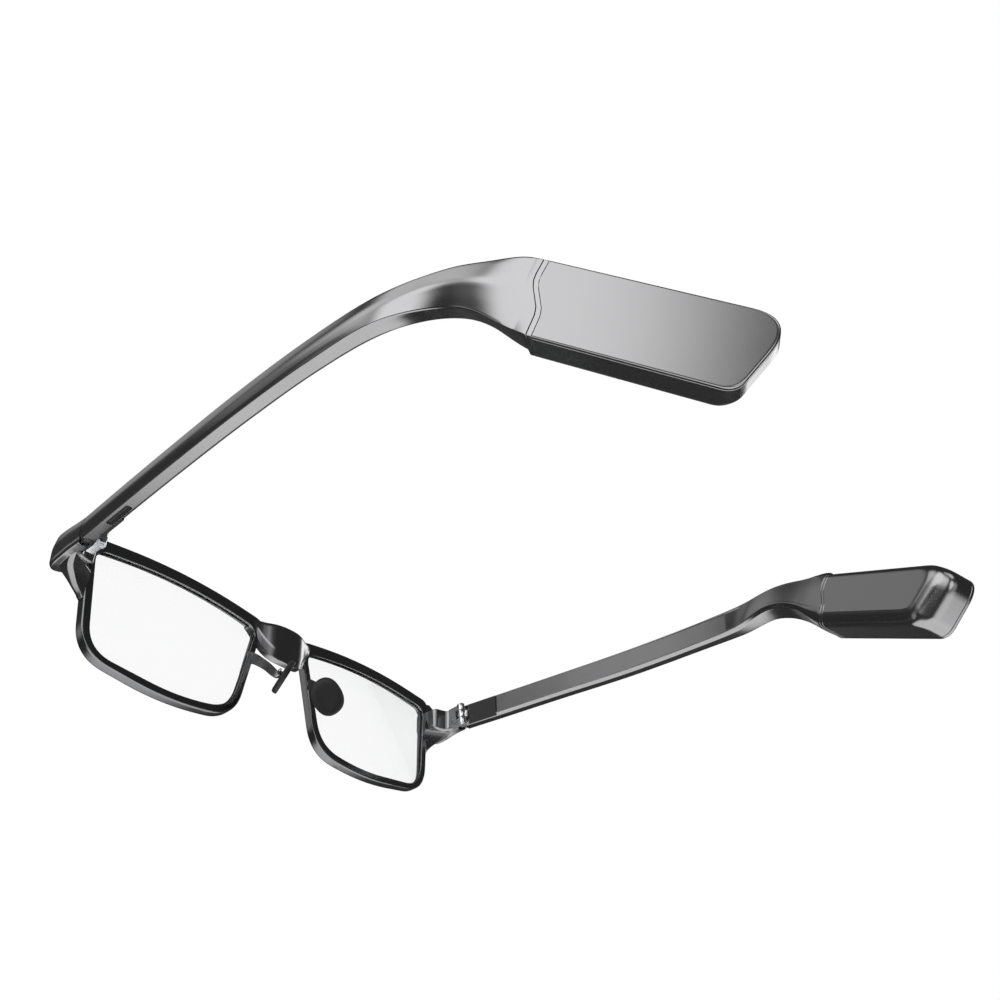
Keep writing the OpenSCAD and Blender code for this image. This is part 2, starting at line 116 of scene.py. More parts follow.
def spline(rows, t):
    """Smooth value at t on a table of equal-length rows; whole numbers are the rows."""
    i = min(int(t), len(rows) - 2)
    k = t - i
    a = np.array(rows[max(i - 1, 0)], float)
    b = np.array(rows[i], float)
    c = np.array(rows[i + 1], float)
    d = np.array(rows[min(i + 2, len(rows) - 1)], float)
    return 0.5 * (2 * b + (c - a) * k + (2 * a - 5 * b + 4 * c - d) * k**2
                  + (3 * b - a - 3 * c + d) * k**3)


# ---------------------------------------------------------------- mesh building
SHARP_ANGLE = math.radians(32)
# Faces with more corners than this are flat end caps.
FLAT_COUNT = 12
MERGE_GAP = 1e-6
THIN_EDGE = 1e-7


def lofted(rings, closed=False):
    """Points and faces of a skin over rings of equal length. It is closed by a cap at
    each end, or, with closed, by joining the last ring back to the first."""
    n = len(rings[0])
    points = [p for ring in rings for p in ring]
    faces = []
    spans = len(rings) if closed else len(rings) - 1
    for j in range(spans):
        k = (j + 1) % len(rings)
        for i in range(n):
            m = (i + 1) % n
            faces.append((j * n + i, k * n + i, k * n + m, j * n + m))
    if not closed:
        last = (len(rings) - 1) * n
        faces.append(tuple(range(n)))
        faces.append(tuple(last + i for i in reversed(range(n))))
    return points, faces


def merged(*parts):
    points, faces = [], []
    for p, f in parts:
        base = len(points)
        points += list(p)
        faces += [tuple(base + i for i in face) for face in f]
    return points, faces


def mirrored(shape):
    points, faces = shape
    return [Vector((-p.x, p.y, p.z)) for p in points], [tuple(reversed(f)) for f in faces]


def new_mesh(name, shape, side):
    """Mesh of a shape of the design frame in the shared frame; side -1 mirrors it."""
    points, faces = shape if side > 0 else mirrored(shape)
    mesh = bpy.data.meshes.new(name)
    mesh.from_pydata([ORIGIN + Vector(p) * MM for p in points], [], faces)
    return mesh


def cleaned(mesh):
    """Welds doubled points and turns the faces outwards; the bmesh is freed later."""
    bm = bmesh.new()
    bm.from_mesh(mesh)
    bmesh.ops.remove_doubles(bm, verts=bm.verts, dist=MERGE_GAP)
    bmesh.ops.dissolve_degenerate(bm, edges=bm.edges, dist=THIN_EDGE)
    bmesh.ops.recalc_face_normals(bm, faces=bm.faces)
    return bm


def add_piece(name, shape, side, body, material, stands_for=()):
    """A shape becomes a piece that rides a body and stands for nodes of the CAD part."""
    mesh = new_mesh(name, shape, side)
    bm = cleaned(mesh)
    for face in bm.faces:
        face.smooth = len(face.verts) <= FLAT_COUNT
    for edge in bm.edges:
        if len(edge.link_faces) == 2 and edge.calc_face_angle() > SHARP_ANGLE:
            edge.smooth = False
    bm.to_mesh(mesh)
    bm.free()
    piece = bpy.data.objects.new(name, mesh)
    bpy.context.scene.collection.objects.link(piece)
    mesh.materials.append(material)
    even = piece.modifiers.new("even_shading", "WEIGHTED_NORMAL")
    even.keep_sharp = True
    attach(piece, body)
    if stands_for:
        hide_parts(*stands_for)
    return piece


def carve(piece, shape, side):
    """Cuts a closed shape out of a piece and keeps the result as the piece's mesh."""
    mesh = new_mesh("cutter", shape, side)
    bm = cleaned(mesh)
    bm.to_mesh(mesh)
    bm.free()
    cutter = bpy.data.objects.new("cutter", mesh)
    bpy.context.scene.collection.objects.link(cutter)
    cut = piece.modifiers.new("cut", "BOOLEAN")
    cut.operation = "DIFFERENCE"
    cut.solver = "EXACT"
    cut.object = cutter
    shading = piece.modifiers["even_shading"]
    shading.show_viewport = False
    graph = bpy.context.evaluated_depsgraph_get()
    carved = bpy.data.meshes.new_from_object(piece.evaluated_get(graph))
    piece.modifiers.remove(cut)
    shading.show_viewport = True
    old = piece.data
    piece.data = carved
    bpy.data.meshes.remove(old)
    bpy.data.objects.remove(cutter)
    bpy.data.meshes.remove(mesh)


# ---------------------------------------------------------------- materials
# Height of the grain in metres.
FINE_BUMP = 0.00002


def blank_material(name):
    """A new material with its node tree and its Principled shader."""
    mat = bpy.data.materials.new(name)
    mat.use_nodes = True
    return mat, mat.node_tree, mat.node_tree.nodes["Principled BSDF"]


def noise(tree, where, scale, detail):
    node = tree.nodes.new("ShaderNodeTexNoise")
    node.inputs["Scale"].default_value = scale
    node.inputs["Detail"].default_value = detail
    tree.links.new(where, node.inputs["Vector"])
    return node.outputs["Fac"]


def ranged(tree, value, low, high):
    """The value (0 to 1) mapped to low to high."""
    node = tree.nodes.new("ShaderNodeMapRange")
    node.inputs["To Min"].default_value = low
    node.inputs["To Max"].default_value = high
    tree.links.new(value, node.inputs["Value"])
    return node.outputs["Result"]


def mottled(tree, colour, mottle, factor):
    """The colour, darker and lighter by the share mottle."""
    tone = tree.nodes.new("ShaderNodeMix")
    tone.data_type = "RGBA"
    dark = [c * (1 - mottle) for c in colour]
    light = [min(c * (1 + mottle), 1) for c in colour]
    tone.inputs["A"].default_value = (*dark, 1)
    tone.inputs["B"].default_value = (*light, 1)
    tree.links.new(factor, tone.inputs["Factor"])
    return tone.outputs["Result"]


def grained(tree, where, size, strength, brush):
    """Normal with a fine grain; brush stretches the grain along the axes."""
    if brush:
        stretch = tree.nodes.new("ShaderNodeMapping")
        stretch.inputs["Scale"].default_value = brush
        tree.links.new(where, stretch.inputs["Vector"])
        where = stretch.outputs["Vector"]
    bump = tree.nodes.new("ShaderNodeBump")
    bump.inputs["Strength"].default_value = strength
    bump.inputs["Distance"].default_value = FINE_BUMP
    tree.links.new(noise(tree, where, 1 / size, 2), bump.inputs["Height"])
    return bump.outputs["Normal"]


def surface(name, colour, rough, metallic=0.0, grain=0.0, grain_size=0.0004, mottle=0.0,
            mottle_size=0.006, spread=0.04, brush=None, coat=0.0, coat_rough=0.1,
            specular=0.5):
    """Procedural finish: fine grain in the bump, slow mottling in colour and roughness."""
    mat, tree, bsdf = blank_material(name)
    bsdf.inputs["Metallic"].default_value = metallic
    bsdf.inputs["Coat Weight"].default_value = coat
    bsdf.inputs["Coat Roughness"].default_value = coat_rough
    bsdf.inputs["Specular IOR Level"].default_value = specular
    where = tree.nodes.new("ShaderNodeTexCoord").outputs["Object"]
    slow = noise(tree, where, 1 / mottle_size, 5)
    roughness = ranged(tree, slow, rough - spread, rough + spread)
    tree.links.new(roughness, bsdf.inputs["Roughness"])
    tree.links.new(mottled(tree, colour, mottle, slow), bsdf.inputs["Base Color"])
    if grain:
        normal = grained(tree, where, grain_size, grain, brush)
        tree.links.new(normal, bsdf.inputs["Normal"])
    return mat


GLASS_IOR = 1.5
GLASS_ROUGH = 0.02
SMEAR_SCALE = 60
EDGE_ALPHA = 0.1
EDGE_IOR = 1.25


def clear(name, tint, alpha):
    """Thin clear sheet: mostly see-through, with gloss that grows towards its rim."""
    mat, tree, bsdf = blank_material(name)
    bsdf.inputs["Base Color"].default_value = (*tint, 1)
    bsdf.inputs["IOR"].default_value = GLASS_IOR
    where = tree.nodes.new("ShaderNodeTexCoord").outputs["Object"]
    smear = noise(tree, where, SMEAR_SCALE, 4)
    roughness = ranged(tree, smear, GLASS_ROUGH, GLASS_ROUGH * 3)
    tree.links.new(roughness, bsdf.inputs["Roughness"])
    facing = tree.nodes.new("ShaderNodeFresnel")
    facing.inputs["IOR"].default_value = EDGE_IOR
    opacity = ranged(tree, facing.outputs["Fac"], alpha, EDGE_ALPHA)
    tree.links.new(opacity, bsdf.inputs["Alpha"])
    return mat


RIM_METAL = surface("rim_metal", (0.22, 0.221, 0.227), 0.2, metallic=1.0, grain=0.12,
                    grain_size=0.00025, mottle=0.12)
BRIDGE_METAL = surface("bridge_metal", (0.3, 0.3, 0.307), 0.18, metallic=1.0, grain=0.12,
                       grain_size=0.00025, mottle=0.1)
END_METAL = surface("endpiece_metal", (0.28, 0.28, 0.285), 0.24, metallic=1.0, grain=0.15,
                    grain_size=0.00025, mottle=0.08, coat=0.2, coat_rough=0.15)
ARM_METAL = surface("arm_metal", (0.33, 0.33, 0.335), 0.16, metallic=1.0, grain=0.2,
                    grain_size=0.0002, mottle=0.05, spread=0.02)
STRIP_METAL = surface("strip_metal", (0.23, 0.23, 0.235), 0.25, metallic=1.0, grain=0.25,
                      grain_size=0.00025, mottle=0.05, spread=0.03, brush=(1, 0.05, 1))
POD_METAL = surface("pod_metal", (0.32, 0.32, 0.325), 0.17, metallic=1.0, grain=0.12,
                    grain_size=0.0002, mottle=0.04, spread=0.02)
RING_METAL = surface("ring_metal", (0.35, 0.35, 0.355), 0.19, metallic=1.0, grain=0.2,
                     grain_size=0.0002, mottle=0.04, spread=0.02)
STEEL = surface("hinge_steel", (0.75, 0.755, 0.77), 0.22, metallic=1.0, grain=0.4,
                grain_size=0.0003, mottle=0.06, brush=(1, 1, 0.08))
SILICONE = surface("pad_silicone", (0.014, 0.014, 0.015), 0.5, grain=0.5, grain_size=0.0003,
                   mottle=0.2, spread=0.06, specular=0.35)
GASKET = surface("gasket_rubber", (0.012, 0.012, 0.013), 0.55, grain=0.4, grain_size=0.0003,
                 mottle=0.2)
BLACK_PLASTIC = surface("black_plastic", (0.012, 0.012, 0.013), 0.42, grain=0.4,
                        grain_size=0.00025, mottle=0.2)
INSERT_PLASTIC = surface("insert_plastic", (0.03, 0.03, 0.032), 0.45, grain=0.3, mottle=0.15)
ENGINE_METAL = surface("engine_metal", (0.45, 0.4, 0.28), 0.35, metallic=1.0, grain=0.4,
                       mottle=0.15)
FOIL = surface("battery_foil", (0.6, 0.61, 0.63), 0.35, metallic=1.0, grain=0.6,
               grain_size=0.0008, mottle=0.1)
FILM = surface("flex_film", (0.42, 0.17, 0.04), 0.35, grain=0.3, mottle=0.2, coat=0.4)
LAMINATE = surface("board_laminate", (0.01, 0.09, 0.04), 0.35, grain=0.4, mottle=0.3,
                   mottle_size=0.002, coat=0.5)
CONTACT = surface("contact_gold", (0.83, 0.6, 0.24), 0.25, metallic=1.0, grain=0.3,
                  mottle=0.05)
LENS_GLASS = clear("lens_glass", (0.6, 0.62, 0.63), 0.02)
GUIDE_GLASS = clear("waveguide_glass", (0.6, 0.64, 0.64), 0.02)
PRISM_GLASS = clear("prism_glass", (0.75, 0.8, 0.82), 0.25)

CAD_FINISH = {
    "cover_lens": LENS_GLASS, "waveguide": GUIDE_GLASS, "coupling_prism": PRISM_GLASS,
    "lens_gasket": GASKET, "endpiece_lid": INSERT_PLASTIC, "light_engine": ENGINE_METAL,
    "pad_pin": STEEL, "pad_core": INSERT_PLASTIC, "hinge_front_leaf": STEEL,
    "hinge_pin": STEEL, "hinge_arm_leaf": STEEL, "leaf_screws": STEEL,
    "flex_cable": FILM, "hinge_cover": BLACK_PLASTIC, "slot_grille": BLACK_PLASTIC,
    "battery": FOIL, "pod_board": LAMINATE, "touch_sensor": FILM,
    "charging_contacts": CONTACT, "endpiece": END_METAL, "pad_arm": END_METAL,
    "front_frame": RIM_METAL, "arm_shell": ARM_METAL, "arm_inner_strip": STRIP_METAL,
    "seam_ring": RING_METAL, "pod_shell": POD_METAL, "pod_cover": POD_METAL,
    "nose_pad": SILICONE,
}
SOFT_EDGES = {
    "hinge_cover": 0.12, "slot_grille": 0.08, "hinge_front_leaf": 0.1, "hinge_pin": 0.06,
    "hinge_arm_leaf": 0.1, "leaf_screws": 0.06, "endpiece_lid": 0.1, "endpiece": 0.3,
    "battery": 0.2, "charging_contacts": 0.08, "light_engine": 0.15, "pad_arm": 0.12,
}


def soften(node, width):
    """Small bevel on a CAD node's edges."""
    weld = node.modifiers.new("weld", "WELD")
    weld.merge_threshold = MERGE_GAP
    bevel = node.modifiers.new("edges", "BEVEL")
    bevel.width = width * MM
    bevel.segments = 2
    bevel.limit_method = "ANGLE"
    bevel.angle_limit = math.radians(35)
    bevel.harden_normals = False


def dress_cad_nodes():
    """CAD nodes that are carried over get their finish and soft edges."""
    for name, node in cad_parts.items():
        kind = name.replace("left_", "").replace("right_", "")
        if not node.material_slots:
            node.data.materials.append(CAD_FINISH[kind])
        for entry in node.material_slots:
            entry.material = CAD_FINISH[kind]
        if kind in SOFT_EDGES:
            soften(node, SOFT_EDGES[kind])


# ---------------------------------------------------------------- arms and pods
# Outer top and bottom edges of the arm, from the hinge to the seam.
TOP_RAIL = [
    (68.6, 10.1, 2.7), (69.7, 24, 2.7), (71.2, 45, 2.7), (72.6, 68.6, 2.7), (73.1, 89.4, 2.7),
    (72.4, 106, 2.5), (70.1, 119.8, 1.0), (67.9, 131.3, -3.0), (64.7, 138.9, -6.8),
    (63, 141.6, -8.6),
]
BOTTOM_RAIL = [
    (68.6, 10.1, -4), (69.7, 24, -4), (71.2, 45, -4), (72.7, 68.6, -4.2), (73.2, 89.3, -4.1),
    (72.3, 104.9, -4.4), (68.5, 116.6, -5.6), (66.5, 124.8, -10.7), (63.4, 133.3, -19.9),
    (61.7, 136, -21.7),
]
SEAM_STATION = 8
# From this station on the outline is sheared towards the seam's zigzag.
SHEAR_START = 7.3
RING_W = 1.0
SEAM_GAP = 0.09
POD_T = 8.4
POD_H = 14.0

# Each section is a list of corners (inward, up, cut); up is measured from the middle,
# h is half the section's height and t its thickness. All sections have the same corners
# in order: top outer edge, crown, start of the lower fillet, bottom outer edge, bottom
# inner bevel (2), recess for the inner strip (4), top inner bevel (2).


def arm_corners(h, t):
    return [
        (0.5, h, 0.34), (0, 0.3, 1.3), (0.34, -h + 1.0, 0.5), (0.6, -h, 0.1),
        (t - 0.75, -h, 0.08), (t, -h + 0.75, 0.08),
        (t, -h + 1.0, 0.03), (t - 0.5, -h + 1.0, 0.03), (t - 0.5, h - 0.45, 0.03),
        (t, h - 0.45, 0.03), (t, h - 0.22, 0.06), (t - 0.25, h, 0.06),
    ]


def neck_corners(h, t, fold, bulge):
    """The outer face is folded at a share of its height below the top, and the fold
    stands out by bulge."""
    return [
        (0.3, h, 0.5), (-bulge, h - 2 * h * (1 - fold), 0.7), (-bulge * 0.4, -h * 0.6, 0.8),
        (0, -h, 0.25), (t - 0.9, -h, 0.2), (t, -h + 0.9, 0.2),
        (t, -h + 1.5, 0.03), (t - 0.02, -h + 1.6, 0.03), (t - 0.02, h - 1.1, 0.03),
        (t, h - 1.0, 0.03), (t, h - 0.6, 0.2), (t - 0.6, h, 0.2),
    ]


def pod_corners():
    h, t = POD_H / 2, POD_T
    return [
        (0, h, 0.24), (0, 1, 0.5), (0, -h + 4, 0.5), (0, -h, 0.24),
        (t - 1.3, -h, 0.9), (t, -h + 2.2, 1.8),
        (t, -h + 4.6, 0.03), (t, -h + 5, 0.03), (t, h - 5, 0.03),
        (t, h - 4.4, 0.03), (t, h - 1.1, 0.7), (t - 0.9, h, 0.7),
    ]


# Station on the rails and the section there; the sections between them are blended.
SECTION_KEYS = [
    (0.0, lambda h: arm_corners(h, 3.8)),
    (1.5, lambda h: arm_corners(h, 3.8)),
    (3.0, lambda h: arm_corners(h, 3.8)),
    (4.3, lambda h: arm_corners(h, 3.95)),
    (5.3, lambda h: neck_corners(h, 4.3, 0.5, 0.3)),
    (6.2, lambda h: neck_corners(h, 5.2, 0.58, 0.65)),
    (7.1, lambda h: neck_corners(h, 6.8, 0.55, 0.7)),
    (8.0, lambda h: pod_corners()),
]


# Points on each corner and each side of a section.
SECTION_ARC = 3
SECTION_SIDE = 4


def section_at(station, h):
    """Closed outline (inward, up) of the arm at a station, between the key sections."""
    stations = [k for k, _ in SECTION_KEYS]
    rows = [np.array(corners(h)) for _, corners in SECTION_KEYS]
    row = spline(rows, float(np.interp(station, stations, range(len(stations)))))
    row[:, 2] = np.maximum(row[:, 2], 0.02)
    return dense_outline([tuple(r) for r in row], SECTION_ARC, SECTION_SIDE)


# The seam's zigzag: heights above the pod's middle and distances along the pod.
SEAM_Z = (-7, -3.3, -1.9, 2.0, 3.4, 7)
SEAM_Y = (1.4, 1.32, 1.0, -1.3, -1.62, -1.4)
SEAM_SHIFT = 0.45


def seam_y(z):
    """How far along the pod the seam lies at a height above the pod's middle."""
    return float(np.interp(z, SEAM_Z, SEAM_Y)) + SEAM_SHIFT


def straight_seam_y(z):
    """The same for a straight line between the seam's ends."""
    return SEAM_Y[-1] * z / SEAM_Z[-1]


RAIL_STEP = 0.02


def rail_frame(station, guides):
    """Middle, half height and directions at a station; guides are the rails that the
    direction along the arm is taken from."""
    top = Vector(spline(TOP_RAIL, station))
    bottom = Vector(spline(BOTTOM_RAIL, station))
    ahead = min(station + RAIL_STEP, len(TOP_RAIL) - 1)
    behind = max(station - RAIL_STEP, 0)
    along = sum((Vector(spline(rail, ahead) - spline(rail, behind)) for rail in guides),
                Vector()).normalized()
    up = (top - bottom).normalized()
    outward = along.cross(up).normalized()
    return (top + bottom) / 2, (top - bottom).length / 2, along, up, outward


def arm_ring(station):
    """The arm's outline at a station of the rails, sheared towards the seam's zigzag."""
    middle, h, along, up, outward = rail_frame(station, (TOP_RAIL, BOTTOM_RAIL))
    share = max(0.0, (station - SHEAR_START) / (SEAM_STATION - SHEAR_START))
    share = share * share * (3 - 2 * share)
    ring = []
    for q in section_at(station, h):
        z = q.y * POD_H / 2 / h
        shear = (seam_y(z) - straight_seam_y(z)) * share
        ring.append(middle - outward * q.x + up * q.y + along * shear)
    return ring


def seam_ring_points(d, inset=0.0):
    """The pod's outline at the seam moved by d along the pod and shrunk by inset."""
    section = dense_outline(pod_corners(), SECTION_ARC, SECTION_SIDE)
    middle_x = POD_T / 2
    ring = []
    for q in section:
        x = middle_x + (q.x - middle_x) * (1 - inset / middle_x)
        z = q.y * (1 - inset / (POD_H / 2))
        ring.append(in_pod(-x, seam_y(q.y) + d, z))
    return ring


SEAM_LIP = 0.06
# How far the faces at the seam reach inwards.
SEAM_FACE = 1.0
# Stations of the arm's rings, closer together in the neck. From the neck's last one the
# skin goes straight to NECK_END, measured along the pod from the seam.
BAR_STATIONS = np.linspace(0, 4, 49)
NECK_STATIONS = np.linspace(4.05, 7.7, 74)
NECK_END = -RING_W - 0.7


def arm_shape():
    """The whole arm, from the hinge to the seam ring."""
    end = -RING_W - SEAM_GAP
    rows = [(NECK_END, 0), (end - SEAM_LIP, 0), (end, SEAM_LIP), (end, SEAM_FACE)]
    rings = [arm_ring(s) for s in (*BAR_STATIONS, *NECK_STATIONS)]
    return lofted(rings + [seam_ring_points(d, inset) for d, inset in rows])


def ring_shape():
    """Thin zigzag ring between arm and pod."""
    first, last = -RING_W, -SEAM_GAP
    rows = [(first, SEAM_FACE), (first, SEAM_LIP), (first + SEAM_LIP, 0),
            (last - SEAM_LIP, 0), (last, SEAM_LIP), (last, SEAM_FACE)]
    return lofted([seam_ring_points(d, inset) for d, inset in rows])


# The parts of the pod's section that count as its lower and upper edge.
LOWER_EDGE = 3.4
UPPER_EDGE = 2.0


def profile_insets(depths):
    """Top and bottom insets of the pod's section at each depth behind its outer face."""
    h = POD_H / 2
    outline = rounded(pod_corners(), 8)
    lower = sorted((q.x, h + q.y) for q in outline if q.y < -h + LOWER_EDGE)
    upper = sorted((q.x, h - q.y) for q in outline if q.y > h - UPPER_EDGE)
    low = np.interp(depths, [q[0] for q in lower], [q[1] for q in lower])
    up = np.interp(depths, [q[0] for q in upper], [q[1] for q in upper])
    return up, low


# Lower and upper end of the pod's rear edge, along the pod.
REAR_FOOT = 35.1
REAR_HEAD = 39.6
# Rear end in (depth behind the outer face, distance in from the outline, rounding): a
# flat end, then a slanted facet up to the inner face.
REAR_PROFILE = [(0, 0, 0.3), (5.3, 0.2, 1.3), (8.4, 3.7, 2.1), (8.4, 12, 0.01), (0, 12, 0.01)]


def rear_inset(depth):
    """How far the rear end stands in from the outline at a depth."""
    arc = 8
    profile = rounded(REAR_PROFILE, arc)[:3 * (arc + 1)]
    return float(np.interp(depth, [q.x for q in profile], [q.y for q in profile]))


# Gaps in the pod's outline that are longer than this are split into as many parts.
LONG_GAP = 8
GAP_PARTS = 8


def pod_loop(depth, top, bottom, rear):
    """The pod's outline at a depth: along the seam from top to bottom, then round the
    rear end. Top, bottom and rear are insets."""
    h = POD_H / 2
    z_top, z_bottom = h - top, -h + bottom
    front = [(seam_y(z), z) for z in np.linspace(z_top, z_bottom, 25)]
    foot_cut = max(2.6 - 0.1 * rear, 1.6)
    head_cut = max(7.0 - 0.45 * rear, 2.2)
    lean = (REAR_HEAD - REAR_FOOT) / POD_H
    foot = (REAR_FOOT + lean * bottom - rear, z_bottom, foot_cut)
    head = (REAR_HEAD - lean * top - rear, z_top, head_cut)
    arc = 12
    corners = rounded([(front[-1][0] + 5, z_bottom, 0.01), foot, head,
                       (front[0][0] + 5, z_top, 0.01)], arc)
    loop = [Vector(q) for q in front] + corners[arc + 1:3 * (arc + 1)]
    spaced = []
    for a, b in zip(loop, loop[1:] + loop[:1]):
        parts = GAP_PARTS if (b - a).length > LONG_GAP else 1
        spaced += [a + (b - a) * k / parts for k in range(parts)]
    return [in_pod(-depth, q.x, q.y) for q in spaced]


PLATE_T = 0.8
PLATE_GAP = 0.07
PLATE_LIP = 0.05
# Sizes of the loops that close a flat face, as shares of its rim.
CAP_STEPS = (0.985, 0.95, 0.88, 0.75, 0.5, 0.2, 0.01)


def capped(loops, first):
    """Adds ever smaller flat loops that close the pod's flat face on one side."""
    rim = loops[0] if first else loops[-1]
    middle = sum(rim, Vector()) / len(rim)
    flat = [[middle.lerp(p, k) for p in rim] for k in CAP_STEPS]
    return list(reversed(flat)) + loops if first else loops + flat


def pod_loops(depths, lip_at):
    """The pod's outline at each depth, stepped in by lip_at(depth) all round."""
    tops, bottoms = profile_insets(depths)
    loops = []
    for depth, top, bottom in zip(depths, tops, bottoms):
        lip = max(lip_at(depth), 0)
        loops.append(pod_loop(depth, top + lip, bottom + lip, rear_inset(depth) + lip))
    return loops


def pod_shell_shape():
    """The pod behind its cover plate, with a small lip along the joint."""
    start = PLATE_T + PLATE_GAP
    depths = [start, start + 0.02, start + PLATE_LIP,
              *np.linspace(PLATE_T + 0.25, POD_T - 0.3, 30),
              *(POD_T - d for d in (0.18, 0.1, 0.04, 0))]
    return lofted(capped(pod_loops(depths, lambda d: PLATE_LIP - (d - start)), False))


def pod_plate_shape():
    """The flat cover plate on the pod's outer side."""
    depths = [0, 0.03, 0.08, 0.15, 0.24, 0.5, PLATE_T - PLATE_LIP, PLATE_T]
    return lofted(capped(pod_loops(depths, lambda d: d - (PLATE_T - PLATE_LIP)), True))


STRIP_STATIONS = np.linspace(1.0, 5.2, 64)
# Depth of the strip's face behind the arm's outer side, and the strip's own thickness.
STRIP_FACE = 3.8
STRIP_T = 0.45


def strip_shape():
    """The long inner strip that closes the arm's channel."""
    rings = []
    for s in STRIP_STATIONS:
        middle, h, _, up, outward = rail_frame(s, (TOP_RAIL,))
        low, high, face, back = -h + 1.06, h - 0.51, STRIP_FACE, STRIP_FACE - STRIP_T
        outline = rounded([(face, low, 0.08), (face, high, 0.08), (back, high, 0.02),
                           (back, low, 0.02)], 3)
        rings.append([middle - outward * q.x + up * q.y for q in outline])
    return lofted(rings)


# ---------------------------------------------------------------- front
# Left lens opening and the rim's outer edge: across, up, cut.
LENS_CORNERS = [
    (58.9, 3.2, 3.5), (32.4, 6.5, 18), (9, 2.7, 4),
    (15.5, -24, 6.5), (31.2, -26.6, 8.5), (55.6, -23.9, 6.5),
]
RIM_CORNERS = [
    (61.3, 6.4, 3), (32.1, 10, 20), (6.8, 6, 3),
    (13.7, -26.2, 8), (33.3, -28.7, 10), (57.6, -25.2, 8),
]
RIM_BACK = 0.3
RIM_D = 2.8
SEAT = 0.85
LIP_D = 0.6


def rim_shape():
    """The left rim: a closed ring with a lip behind the lens seat."""
    inner = dense_outline(LENS_CORNERS)
    outer = dense_outline(RIM_CORNERS)
    rings = []
    for i, o in zip(inner, outer):
        w = (o - i).length
        outwards = (o - i).normalized()
        back = RIM_BACK
        front = back - RIM_D
        section = [
            (0, back - LIP_D, 0.05), (0, back, 0.3), (w, back, 0.55),
            (w, front, 0.5), (SEAT, front, 0.15), (SEAT, back - LIP_D, 0.05),
        ]
        spots = [(i + outwards * q.x, q.y) for q in rounded(section, 4)]
        rings.append([in_lens(p.x, y, p.y) for p, y in spots])
    return lofted(rings, closed=True)


BRIDGE_T = 2.8
BRIDGE_HALF = 11.4
# Bridge by distance from the middle: how far its rear face stands back, its top and its
# lower edge.
BRIDGE_ROWS = [
    (0, 3.8, 5.4, -6.3), (1.6, 3.76, 5.4, -6.25), (3.2, 3.52, 5.4, -6.05),
    (4.6, 3.05, 5.45, -5.5), (5.8, 2.45, 5.5, -4.6), (7, 1.75, 5.6, -3.2),
    (8.2, 1.1, 5.8, -1.4), (9.4, 0.6, 6.05, 0.6), (10.4, 0.32, 6.3, 2.0),
    (BRIDGE_HALF, 0.15, 6.5, 3.0),
]


def bridge_shape():
    """Saddle: a plate that steps back behind the rims, lofted from rim to rim."""
    spots = [row[0] for row in BRIDGE_ROWS]
    rings = []
    for x in np.linspace(-BRIDGE_HALF, BRIDGE_HALF, 97):
        k = float(np.interp(abs(x), spots, range(len(spots))))
        _, back, top, low = (float(v) for v in spline(BRIDGE_ROWS, k))
        front = back - BRIDGE_T
        bevel = min(1.4, 0.25 * (top - low))
        section = [
            (front, low, 0.4), (back - bevel * 0.45, low, 0.25), (back, low + bevel * 1.9, 0.6),
            (back, top, 1.5), (front, top, 0.4),
        ]
        rings.append([in_lens(x, q.x, q.y) for q in rounded(section, 8)])
    return lofted(rings)


# ---------------------------------------------------------------- nose pads
PAD_L, PAD_W = 10.4, 8.4


OVAL_STEPS = 72
OVAL_POWER = 2.35


def oval(ry, rz):
    """Points of a slightly squared oval with the half axes ry and rz."""
    points = []
    for k in range(OVAL_STEPS):
        a = 2 * math.pi * k / OVAL_STEPS
        c, s = math.cos(a), math.sin(a)
        y = ry * math.copysign(abs(c) ** (2 / OVAL_POWER), c)
        z = rz * math.copysign(abs(s) ** (2 / OVAL_POWER), s)
        points.append((y, z))
    return points


def nose_pad_shape():
    """Oval silicone pad: dished face towards the nose, raised rim, rounded back."""
    rows = [
        (-0.42, 0.10), (-0.40, 0.45), (-0.38, 0.68), (-0.46, 0.78), (-0.66, 0.86),
        (-0.78, 0.91), (-0.78, 0.95), (-0.66, 0.985), (-0.35, 1.0), (0.1, 1.0),
        (0.45, 0.975), (0.68, 0.92), (0.78, 0.84), (0.8, 0.6), (0.8, 0.36),
    ]
    rings = []
    for x, scale in rows:
        rings.append([in_pad(x, y, z) for y, z in oval(PAD_W / 2 * scale, PAD_L / 2 * scale)])
    return lofted(rings)


PAD_ARM_W = 2.6
PAD_ARM_T = 0.9


def pad_arm_shape():
    """Curved blade from the rim's inner side back to the pad's holder."""
    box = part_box("left_pad_core")
    core = ((box[0] + box[1]) / 2 - ORIGIN) / MM
    path = [(10.6, -0.6, -6.4), (10.2, 1.6, -7.4), (9.9, 4.2, -9.2), (9.5, 7.2, -11.6),
            (core.x + 0.9, core.y - 0.9, core.z + 0.2), (core.x + 0.35, core.y - 0.1, core.z)]
    rings = []
    for k in np.linspace(0, len(path) - 1, 41):
        here = Vector(spline(path, k))
        ahead = Vector(spline(path, min(k + 0.05, len(path) - 1)))
        behind = Vector(spline(path, max(k - 0.05, 0)))
        along = (ahead - behind).normalized()
        side = Vector((1, 0, 0)) - along * along.x
        side.normalize()
        wide = along.cross(side)
        half = PAD_ARM_W / 2 * (1.25 - 0.13 * k)
        thin = PAD_ARM_T / 2
        corners = [(-thin, -half, 0.2), (thin, -half, 0.2), (thin, half, 0.2), (-thin, half, 0.2)]
        rings.append([here + side * q.x + wide * q.y for q in rounded(corners, 3)])
    return lofted(rings)


def front_pieces():
    """Both rims as one piece, and the bridge."""
    left = rim_shape()
    rims = merged(left, mirrored(left))
    add_piece("front_body", rims, 1, "front", RIM_METAL, ("front_frame",))
    add_piece("front_bridge", bridge_shape(), 1, "front", BRIDGE_METAL)


